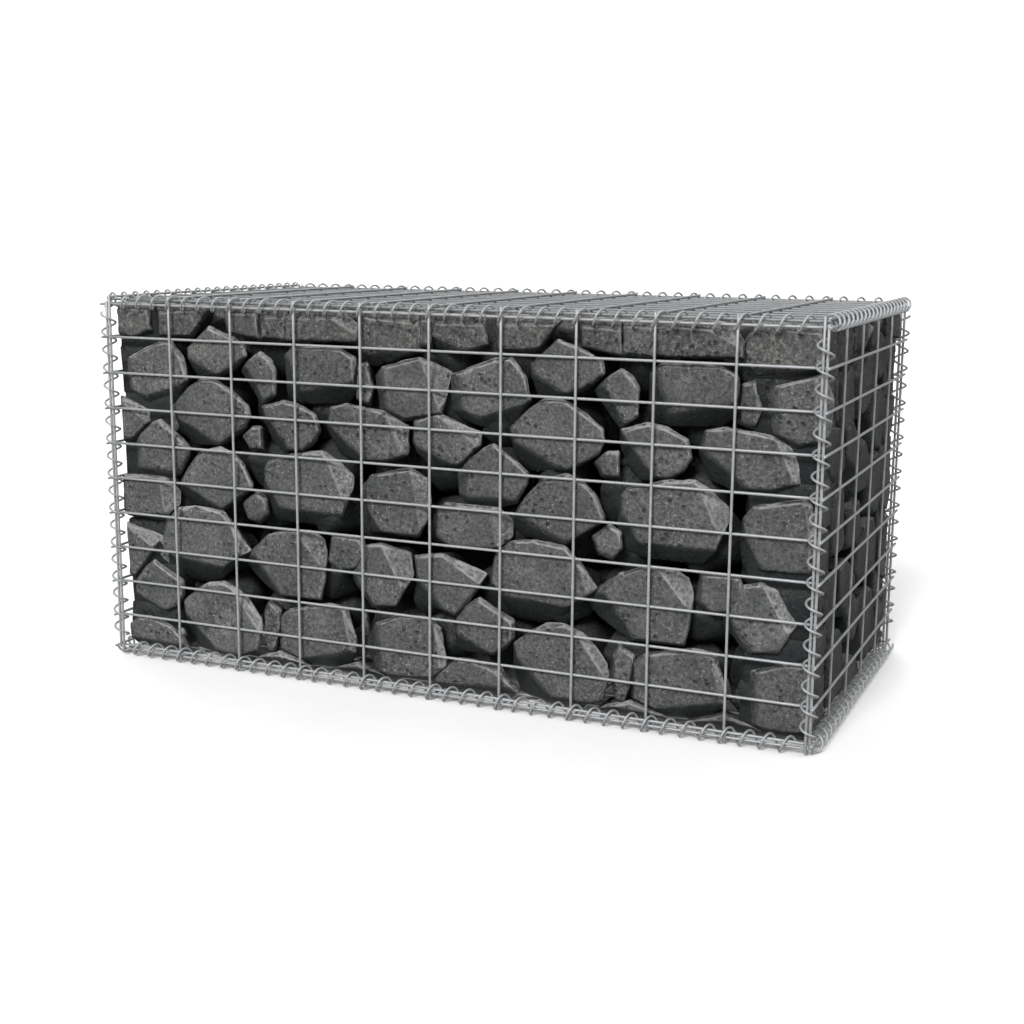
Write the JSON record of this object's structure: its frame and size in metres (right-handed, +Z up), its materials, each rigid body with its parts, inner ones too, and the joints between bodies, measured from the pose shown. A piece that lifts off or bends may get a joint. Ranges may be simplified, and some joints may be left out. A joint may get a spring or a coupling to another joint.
{
  "type": "gabion basket",
  "caption": "Free-standing gabion wall block: a rectangular welded wire mesh basket laced along its edges with spiral binders and filled with dark broken stone.",
  "frame": {"origin": "on the floor, under the middle of the basket", "axes": "+X along the basket, -Y out of the front, +Z up"},
  "size_m": [1.0346, 0.525, 0.5235],
  "materials": {
    "mesh_wire": "hot-dip galvanised wire, dull grey zinc",
    "spiral_wire": "galvanised wire, a little brighter than the mesh",
    "fill_stone": "broken basalt, rough, pitted, dark grey with paler edges"
  },
  "bodies": {
    "root": {"front_mesh": "mesh_wire", "back_mesh": "mesh_wire", "left_end_mesh": "mesh_wire", "right_end_mesh": "mesh_wire", "base_mesh": "mesh_wire", "lid_mesh": "mesh_wire", "spiral_front_top": "spiral_wire", "spiral_front_bottom": "spiral_wire", "spiral_back_top": "spiral_wire", "spiral_back_bottom": "spiral_wire", "spiral_left_top": "spiral_wire", "spiral_left_bottom": "spiral_wire", "spiral_right_top": "spiral_wire", "spiral_right_bottom": "spiral_wire", "spiral_front_left_corner": "spiral_wire", "spiral_front_right_corner": "spiral_wire", "spiral_back_left_corner": "spiral_wire", "spiral_back_right_corner": "spiral_wire", "stone_lift_lower": "fill_stone", "stone_lift_upper": "fill_stone"}
  },
  "joints": []
}
